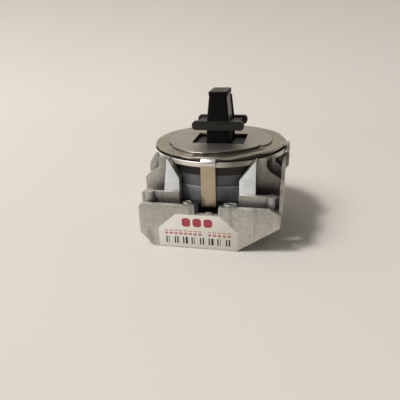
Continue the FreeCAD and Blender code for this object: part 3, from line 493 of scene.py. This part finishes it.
def piece_from(name, mesh_builder, materials, replaces=()):
    """A new object whose mesh mesh_builder fills in, riding on the head."""
    mesh = bpy.data.meshes.new(name)
    form = bmesh.new()
    mesh_builder(form)
    bmesh.ops.recalc_face_normals(form, faces=form.faces)
    form.to_mesh(mesh)
    form.free()
    piece = in_scene(name, mesh)
    coat(mesh, *materials)
    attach(piece, HEAD)
    if replaces:
        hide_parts(*replaces)
    return piece


def ease_edges(piece, width, degrees):
    """Small rounds along the edges sharper than an angle."""
    ease = piece.modifiers.new("ease", "BEVEL")
    ease.width = width * MM
    ease.segments = 2
    ease.limit_method = "ANGLE"
    ease.angle_limit = math.radians(degrees)
    graph = bpy.context.evaluated_depsgraph_get()
    mesh = bpy.data.meshes.new_from_object(piece.evaluated_get(graph))
    old = piece.data
    piece.modifiers.clear()
    piece.data = mesh
    bpy.data.meshes.remove(old)


def smooth_by_angle(mesh, degrees):
    """Smooth shading, with the edges sharper than an angle left crisp."""
    for polygon in mesh.polygons:
        polygon.use_smooth = True
    form = bmesh.new()
    form.from_mesh(mesh)
    for edge in form.edges:
        edge.smooth = len(edge.link_faces) == 2 and edge.calc_face_angle(math.pi) < math.radians(degrees)
    form.to_mesh(mesh)
    form.free()


def rounded_copy(node, materials, width, name=None):
    """The CAD node with its edges eased, standing for that node."""
    name = name or f"{node}_eased"
    form = bmesh.new()
    form.from_mesh(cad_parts[node].data)
    bmesh.ops.remove_doubles(form, verts=form.verts, dist=WELD)
    bmesh.ops.dissolve_limit(form, angle_limit=math.radians(FLAT), verts=form.verts, edges=form.edges)
    mesh = bpy.data.meshes.new(name)
    form.to_mesh(mesh)
    form.free()
    piece = in_scene(name, mesh)
    coat(mesh, *materials)
    ease_edges(piece, width, ROUNDED)
    smooth_by_angle(piece.data, CRISP)
    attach(piece, HEAD)
    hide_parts(node)
    return piece


def eased_piece(name, builder, materials, width, replaces=(), degrees=38):
    """A piece from mesh code with small rounds along its sharp edges."""
    piece = piece_from(name, builder, materials, replaces)
    ease_edges(piece, width, degrees)
    smooth_by_angle(piece.data, degrees)
    return piece


def paint(piece, materials, choose):
    """Each face takes the material that choose names from its normal and its middle."""
    for polygon in piece.data.polygons:
        x, y, z = (value / MM for value in polygon.center)
        polygon.material_index = materials.index(choose(polygon.normal, x, y, z))


def on_axis(form, radius, turn, height):
    """A vertex at a radius, an angle in radians and a height from the axis of the wires."""
    return form.verts.new((radius * math.cos(turn) * MM, radius * math.sin(turn) * MM, height * MM))


def loft(form, rows, closed=True):
    """Faces from each ring of vertices to the next, and from the last to the first if closed."""
    for near, far in zip(rows, rows[1:] + rows[:1] if closed else rows[1:]):
        for place in range(len(near)):
            after = (place + 1) % len(near)
            form.faces.new((near[place], far[place], far[after], near[after]))


# ---------------------------------------------------------------- pieces carried over from the frame

CARRIED_OVER = {
    "armature_yoke": "pole", "spring_spacer": "pole", "base_yoke": "pole", "magnet_cores": "pole",
    "leaf_spring_plate": "leaf", "shim_ring": "side_yoke", "side_yoke": "side_yoke",
    "ring_magnet": "magnet", "coil_bobbins": "bobbin", "contact_fingers": "gold",
    "terminal_pins": "tin", "alignment_dowels": "tin", "thermistor": "bead", "oil_felt": "felt",
    "insulating_film": "film", "circuit_board": "board",
    "rear_guide": "guide", "middle_guide": "guide", "tip_guide": "guide",
}


for number in range(1, 10):
    CARRIED_OVER[f"winding_{number}"] = "winding"
    CARRIED_OVER[f"print_wire_{number}"] = "wire"
    CARRIED_OVER[f"armature_{number}"] = "pole"


def carried_over():
    """The CAD nodes that keep their shape get their finished material."""
    for node, material in CARRIED_OVER.items():
        coat(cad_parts[node].data, material)


# A face looks along an axis when its normal's part along it is more than this.
SQUARE_ON = 0.9


def heat_sink():
    """The casting, with the cheeks on both sides of the strap milled bright."""
    cheek_y, cheek_foot, cheek_inside, cheek_outside = -21.5, 13.5, 8.8, 13.8
    materials = ("casting", "cheek")

    def choose(normal, x, y, z):
        milled = normal.y < -SQUARE_ON and abs(y - cheek_y) < 0.3
        beside_strap = z > cheek_foot and cheek_inside < abs(x) < cheek_outside
        return "cheek" if milled and beside_strap else "casting"

    paint(rounded_copy("heat_sink", materials, 0.16), materials, choose)


def cast_lips():
    """Two small hollow bosses that stand up just behind the front plate's top edge."""
    boss_y, half_deep, steps = -23.93, 1.05, 40
    bosses = ((6.75, 2.05), (-6.1, 1.35))  # (middle across, half width)
    wall = ((0, 11), (0, 14.0), (0.1, 14.12), (0.3, 14.12), (0.4, 14.0), (0.4, 11))  # (inset, height)

    def build(form):
        for centre, half_wide in bosses:
            rows = []
            for index in range(steps):
                turn = math.tau * index / steps
                across, back = math.cos(turn), math.sin(turn)
                rows.append([form.verts.new(((centre + across * (half_wide - inset)) * MM,
                                             (boss_y + back * (half_deep - inset)) * MM, z * MM))
                             for inset, z in wall])
            loft(form, rows)

    piece = piece_from("cast_hollow_bosses", build, ("casting",))
    smooth_by_angle(piece.data, 40)


def nose():
    """The nose, with its end face, its neck's flanks, its bars and its pad in their own plastics; the
    flanks are lighter as a painted reflection.
    """
    pad_top, bar_foot, bar_top, flank_foot, flank_top, end_face = 26.5, 31, 34.1, 34.2, 41.7, 42.5
    neck_half, neck_back = 3.9, 3.05
    materials = ("nose", "pad", "guide", "flank", "bar")

    def choose(normal, x, y, z):
        if normal.z > SQUARE_ON and z > end_face:
            return "guide"
        # The flanks' lighter plastic is a painted reflection.
        if abs(normal.x) > 0.85 and flank_foot < z < flank_top and y < neck_back:
            return "flank"
        if bar_foot < z < bar_top and max(abs(x), abs(y)) > neck_half:
            return "bar"
        return "pad" if z < pad_top else "nose"

    paint(rounded_copy("nose_housing", materials, 0.2), materials, choose)


# ---------------------------------------------------------------- clamp and pressure ring

# Round the clamp's disc, as (degrees about the wires, millimetres); 270 degrees is the front strap.
# The radius and the depth of its step, the depth of the slit at the step's foot, the round on the
# step's top edge, the height of the rim above CLAMP_RIM, and the radius of the rim.
STEP_RADIUS = ((0, 16.8), (199, 16.8), (214, 16.9), (217, 16.5), (220, 17.3), (234, 17.4), (248, 17.5),
               (259, 17.2), (274, 15.9), (290, 14.9), (303, 14.7), (316, 15.0), (328, 15.2),
               (333, 14.8), (337, 16.3), (347, 16.8), (360, 16.8))
STEP_DEPTH = ((0, 0.4), (180, 0.3), (215, 0.25), (240, 0.45), (255, 0.85), (270, 1.0), (290, 0.95),
              (325, 0.7), (345, 0.5), (360, 0.4))
SLIT_DEPTH = ((0, 0.0), (199, 0.0), (206, 0.45), (240, 0.4), (256, 0.05), (320, 0.05), (335, 0.35),
              (352, 0.3), (358, 0.0), (360, 0.0))
STEP_ROUND = ((0, 0.05), (235, 0.03), (250, 0.14), (320, 0.14), (332, 0.05), (360, 0.05))
RIM_WAVE = ((0, -0.05), (20, -0.1), (60, -0.22), (120, -0.22), (170, -0.05), (205, 0.0), (220, 0.05),
            (232, 0.15), (244, 0.08), (254, -0.05), (262, 0.3), (276, 0.34), (285, 0.06),
            (298, 0.5), (310, 0.62), (322, 0.4), (336, 0.15), (350, 0.0), (360, -0.05))
RIM_RADIUS = ((0, CLAMP_REACH), (9, 21.25), (11, 20.9), (24, 20.9), (26, 21.25), (190, CLAMP_REACH),
              (204, CLAMP_REACH), (206, 21.1), (212, 21.1), (214, CLAMP_REACH), (360, CLAMP_REACH))


def eased(share):
    """0 to 1 with a slow start and a slow end."""
    return share * share * (3 - 2 * share)


def along(knots, angle):
    """The value at an angle, eased from each knot to the next."""
    for (start, first), (stop, last) in zip(knots, knots[1:]):
        if start <= angle <= stop:
            return first + (last - first) * eased((angle - start) / (stop - start))
    return knots[-1][1]


def window_radius(turn, half_x, half_y, squareness=22):
    """How far out the edge of the clamp's window is in one direction."""
    power = abs(math.cos(turn) / half_x) ** squareness + abs(math.sin(turn) / half_y) ** squareness
    return power ** (-1 / squareness)


def disc_section(degrees):
    """(radius, height) along the disc's top, from its window to its rim."""
    step = along(STEP_RADIUS, degrees)
    rim = along(RIM_RADIUS, degrees)
    edge = CLAMP_RIM + along(RIM_WAVE, degrees)
    foot = CLAMP_TOP - along(STEP_DEPTH, degrees)
    inner = window_radius(math.radians(degrees), *WINDOW_HALF)
    slit = along(SLIT_DEPTH, degrees)
    curl = along(STEP_ROUND, degrees)
    flat_end = step - 0.4
    lead_in, climb_from, climb_over, chamfer = 0.12, 0.55, 0.3, 0.12
    wander = noise.noise(Vector((degrees * 0.6, 3.0, 0.0))) * 0.12
    opening = 0.09 + slit * (0.5 + wander)
    stations = [(inner, CLAMP_TOP), (inner + lead_in, CLAMP_TOP)]
    for share in (0.3, 0.6, 0.85):
        stations.append((inner + (flat_end - inner) * share, CLAMP_TOP))
    stations += [(flat_end, CLAMP_TOP), (step - curl, CLAMP_TOP),
                 (step - curl * 0.3, CLAMP_TOP - curl * 0.25), (step, CLAMP_TOP - curl),
                 (step + 0.02, foot - slit), (step + opening, foot - slit), (step + opening + 0.03, foot)]
    for share in (0.2, 0.4, 0.55, 0.62, 0.69, 0.76, 0.83, 0.9):
        climb = eased(min(max((share - climb_from) / climb_over, 0.0), 1.0))
        stations.append((step + opening + 0.05 + (rim - 0.17 - opening - step) * share,
                         foot + (edge - foot) * climb))
    stations += [(rim - chamfer, edge), (rim - 0.03, edge - 0.03), (rim, edge - chamfer)]
    return stations


def sheet_metal_disc(form, steps=540):
    """The disc, one sheet thick, with its rim coined thinner and chamfered from both sides."""
    rings = []
    for index in range(steps):
        degrees = 360 * index / steps
        turn = math.radians(degrees)
        section = disc_section(degrees)
        lifts = [COINED_BY * min(max(r - COINED_FROM, 0.0), 1.0) for r, z in section[:-1]] + [EDGE_BY]
        ring = [on_axis(form, r, turn, z) for r, z in section]
        under = [on_axis(form, r, turn, z + lift - SHEET) for (r, z), lift in zip(section, lifts)]
        rings.append(ring + under[::-1])
    loft(form, rings)


def bent_strip(form, path, half_wide):
    """A strip of sheet bent along a path of (y, z) places in its middle."""
    rows = []
    for index, (y, z) in enumerate(path):
        before, after = path[max(index - 1, 0)], path[min(index + 1, len(path) - 1)]
        run = Vector((after[0] - before[0], after[1] - before[1])).normalized() * SHEET / 2
        rows.append([form.verts.new((x * MM, (y + run.y * side) * MM, (z - run.x * side) * MM))
                     for x, side in ((-half_wide, 1), (half_wide, 1), (half_wide, -1), (-half_wide, -1))])
    loft(form, rows, closed=False)
    form.faces.new(rows[0])
    form.faces.new(rows[-1][::-1])


def bend(centre, radius, start, stop, steps=8):
    """Places on an arc, from one angle in degrees to another."""
    turns = [math.radians(start + (stop - start) * index / steps) for index in range(steps + 1)]
    return [(centre[0] + radius * math.cos(turn), centre[1] + radius * math.sin(turn)) for turn in turns]


def prism(form, corners, front, back):
    """(x, z) corners carried along y from front to back."""
    ends = [[form.verts.new(Vector((x, y, z)) * MM) for x, z in corners] for y in (front, back)]
    count = len(corners)
    for index in range(count):
        after = (index + 1) % count
        form.faces.new((ends[0][index], ends[0][after], ends[1][after], ends[1][index]))
    form.faces.new(ends[0])
    form.faces.new(ends[1][::-1])


def disc_material(normal, x, y, z):
    """A darker rim, painted shade in the trough at the front of the step, and black painted shade on the
    faces inside the slit.
    """
    trough_wide, trough_start, trough_stop = 2.3, 252, 330
    slit_wide, slit_low, slit_high = 0.5, 0.58, 0.1
    degrees = math.degrees(math.atan2(y, x)) % 360
    radius = math.hypot(x, y)
    step = along(STEP_RADIUS, degrees)
    foot = CLAMP_TOP - along(STEP_DEPTH, degrees)
    # Painted shade inside the slit.
    if step < radius < step + slit_wide and foot - slit_low < z < foot - slit_high:
        return "gap"
    # Painted shade in the trough.
    if step < radius < step + trough_wide and trough_start < degrees < trough_stop:
        return "trough"
    return "rim" if radius > step - 0.01 else "clamp"


def strap(side):
    """A mesh builder for one strap, from under the rim down to its hook; side is -1 for the front."""
    middle = STRAP_OUTSIDE - SHEET / 2
    hook_y, hook_z, hook_bend = -middle + 0.6, 12.4, 0.6
    drop, high = 13.0, STRAP_TOP - STRAP_BEND

    def build(form):
        path = [(-19.9, STRAP_TOP - 0.12), (-SHOULDER, STRAP_TOP)]
        path += bend((-middle + STRAP_BEND, high), STRAP_BEND, 90, 180)
        path += [(-middle, high - drop * share) for share in (0.25, 0.5, 0.75)]
        path += bend((hook_y, hook_z), hook_bend, 180, 258, 5)
        path += [(-SHOULDER, STRAP_FOOT)]
        bent_strip(form, [(-side * y, z) for y, z in path], STRAP_HALF)
    return build


def tab(form):
    """The ear that hangs over the side of the stack, as (x, z) places."""
    ear = [(19.6, 26.2), (21.8, 26.2), (21.8, 23.9), (21.95, 23.5), (21.95, 20.3), (22.6, 20.3),
           (22.6, 26.45), (22.35, CLAMP_RIM), (19.6, CLAMP_RIM)]
    prism(form, ear, -4.4, 0)


def flange(form):
    """The ear's front edge, bent inwards, as (x, z) places."""
    face = [(20.15, 18.9), (21.7, 18.9), (22.6, 20.3), (22.6, 24.0), (22.1, 24.35), (20.15, 24.0)]
    prism(form, face, -4.42, -3.8)


def clamp():
    """The pressed clamp: its disc stands for the CAD's clamp, and its other pieces ride with it."""
    materials = ("clamp", "rim", "gap", "trough")
    disc = eased_piece("clamp_disc", sheet_metal_disc, materials, 0.03, ("clamp_plate",), 60)
    paint(disc, materials, disc_material)
    for name, build, material, width in (("clamp_strap_front", strap(-1), "strap", 0.07),
                                         ("clamp_strap_back", strap(1), "strap", 0.07),
                                         ("clamp_side_tab", tab, "clamp", 0.12),
                                         ("clamp_tab_flange", flange, "shaded_sheet", 0.1)):
        eased_piece(name, build, (material,), width)


def pressure_ring():
    """The ring under the clamp, with a small step round its top that leaves a shadow gap; the step's shelf
    is painted black as shade.
    """
    bore, outside, ledge, foot, shelf, top, steps = 10.8, 21.7, 20.3, 24.2, 25.74, 26.2, 288
    section = ((bore, foot), (21.5, foot), (21.64, 24.26), (outside, 24.42), (outside, 25.5),
               (21.64, 25.66), (21.5, shelf), (ledge, shelf), (20.1, top), (bore, top))

    def build(form):
        turns = [math.tau * index / steps for index in range(steps)]
        loft(form, [[on_axis(form, r, turn, z) for r, z in section] for turn in turns])

    def choose(normal, x, y, z):
        # The shelf's top is painted black: shade in the gap under the clamp.
        return "gap" if normal.z > SQUARE_ON and abs(z - shelf) < 0.1 else "ring"

    materials = ("ring", "gap")
    piece = piece_from("pressure_ring_turned", build, materials, ("pressure_ring",))
    paint(piece, materials, choose)
    smooth_by_angle(piece.data, 40)


# ---------------------------------------------------------------- label

def label():
    """The film label and its generic print: plain marks in three rows, and no letters."""
    low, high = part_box("warning_label")
    rounded_copy("warning_label", ("label",), 0.03, "label_film_eased")
    front = low.y / MM
    middle = (low.x + high.x) / 2 / MM
    ink_over, ink_under = 0.01, 0.005

    def marks(name, material, rows):
        """One object for a row of print: each mark is (left, right, bottom, top) with cut corners."""
        def build(form):
            for left, right, bottom, top in rows:
                cut = min(right - left, top - bottom) * 0.22
                corners = [(left + cut, bottom), (right - cut, bottom), (right, bottom + cut),
                           (right, top - cut), (right - cut, top), (left + cut, top),
                           (left, top - cut), (left, bottom + cut)]
                prism(form, [(middle + x, z) for x, z in corners], front - ink_over, front + ink_under)
        piece_from(name, build, (material,))

    block_wide, block_low, block_high, block_slant = 2.6, 7.2, 10.0, 0.06
    marks("print_red_blocks", "red",
          [(left, left + block_wide, block_low + block_slant * index, block_high)
           for index, left in enumerate((-4.7, -1.4, 1.9))])

    dash_start, dash_pitch, dash_wide, word_gap = -10.1, 1.47, 1.05, 8
    dashes = []
    for index in range(14):
        left = dash_start + dash_pitch * index
        if index != word_gap:
            dashes += [(left, left + dash_wide, 4.45, 5.15), (left, left + dash_wide, 5.6, 5.9)]
    marks("print_thin_dashes", "pink", dashes)

    bar_start, bar_pitch, bar_low, bar_high = -9.8, 2.62, 1.5, 3.8
    bars = []
    for index in range(8):
        left = bar_start + bar_pitch * index
        wide_end = left + 1.0 + 0.25 * (index % 3)
        bars += [(left, left + 0.4, bar_low, bar_high), (left + 0.8, wide_end, bar_low, bar_high)]
    marks("print_dark_bars", "black", bars)


# ---------------------------------------------------------------- studio

# The middle of the stack, which both lights face, in metres.
LIT_PLACE = Vector((0, 0, 0.015))


def backdrop():
    """A paper floor that curves up behind the object; its sizes are in metres."""
    half_wide, front, back, rise, radius, steps = 0.8, -0.7, 0.215, 0.75, 0.085, 16
    profile = [(front, 0.0), (back - radius, 0.0)]
    for step in range(1, steps + 1):
        turn = math.pi / 2 * step / steps
        profile.append((back - radius + radius * math.sin(turn), radius * (1 - math.cos(turn))))
    profile.append((back, rise))
    mesh = bpy.data.meshes.new("studio_floor")
    form = bmesh.new()
    left, right = [[form.verts.new((x, y, z)) for y, z in profile] for x in (-half_wide, half_wide)]
    for index in range(len(profile) - 1):
        form.faces.new((left[index], right[index], right[index + 1], left[index + 1]))
    form.to_mesh(mesh)
    form.free()
    for polygon in mesh.polygons:
        polygon.use_smooth = True
    floor = in_scene("studio_floor", mesh)
    paper = Shader("studio_paper", roughness=0.9)
    tones = [(0.3, (0.72, 0.685, 0.63)), (0.7, (0.74, 0.705, 0.65))]
    paper.colour(paper.ramp(paper.noise(6, 3, 0.5), tones))
    mesh.materials.append(paper.material)


def room():
    """The faint even light from all round."""
    world = bpy.data.worlds.new("soft_room")
    bpy.context.scene.world = world
    world.use_nodes = True
    background = world.node_tree.nodes["Background"]
    background.inputs["Color"].default_value = (1.0, 0.99, 0.975, 1)
    background.inputs["Strength"].default_value = 0.10


def light(name, direction, distance, size, power, colour):
    """A round light some way off in a direction; distance and size are in metres."""
    data = bpy.data.lights.new(name, "AREA")
    data.shape = "DISK"
    data.size = size
    data.energy = power
    data.color = colour
    holder = in_scene(name, data)
    holder.location = LIT_PLACE + Vector(direction).normalized() * distance
    holder.rotation_euler = (-Vector(direction)).to_track_quat("-Z", "Y").to_euler()


# Where the photograph was taken from: angles in degrees, place in metres, lens in millimetres.
AZIMUTH, PITCH, ROLL = 13.181, 23.171, -2.141
VIEWPOINT = Vector((0.02399, -0.13589, 0.06414))
LENS = 38.33
SENSOR = 36.0


def camera():
    """The viewing position: slightly right of the plate's centre and well above it."""
    azimuth, pitch, roll = (math.radians(degrees) for degrees in (AZIMUTH, PITCH, ROLL))
    back = Vector((math.sin(azimuth) * math.cos(pitch),
                   -math.cos(azimuth) * math.cos(pitch),
                   math.sin(pitch)))
    right = Vector((math.cos(azimuth), math.sin(azimuth), 0))
    up = right.cross(-back)
    turned_right = right * math.cos(roll) + up * math.sin(roll)
    turned_up = up * math.cos(roll) - right * math.sin(roll)
    data = bpy.data.cameras.new("camera")
    data.sensor_width = SENSOR
    data.lens = LENS
    data.clip_start = 0.005
    holder = in_scene("camera", data)
    basis = Matrix((turned_right, turned_up, back)).transposed().to_4x4()
    basis.translation = VIEWPOINT
    holder.matrix_world = basis
    bpy.context.scene.camera = holder


carried_over()
heat_sink()
cast_lips()
nose()
pressure_ring()
clamp()
label()
backdrop()
room()
light("lamp", direction=(-12, -8.5, 24), distance=1.3, size=0.24, power=6.9, colour=(1.0, 0.985, 0.96))
light("window", direction=(-19, -13, 28), distance=1.4, size=0.75, power=9.2, colour=(1.0, 0.99, 0.975))
camera()
bpy.context.scene.view_settings.view_transform = "Standard"
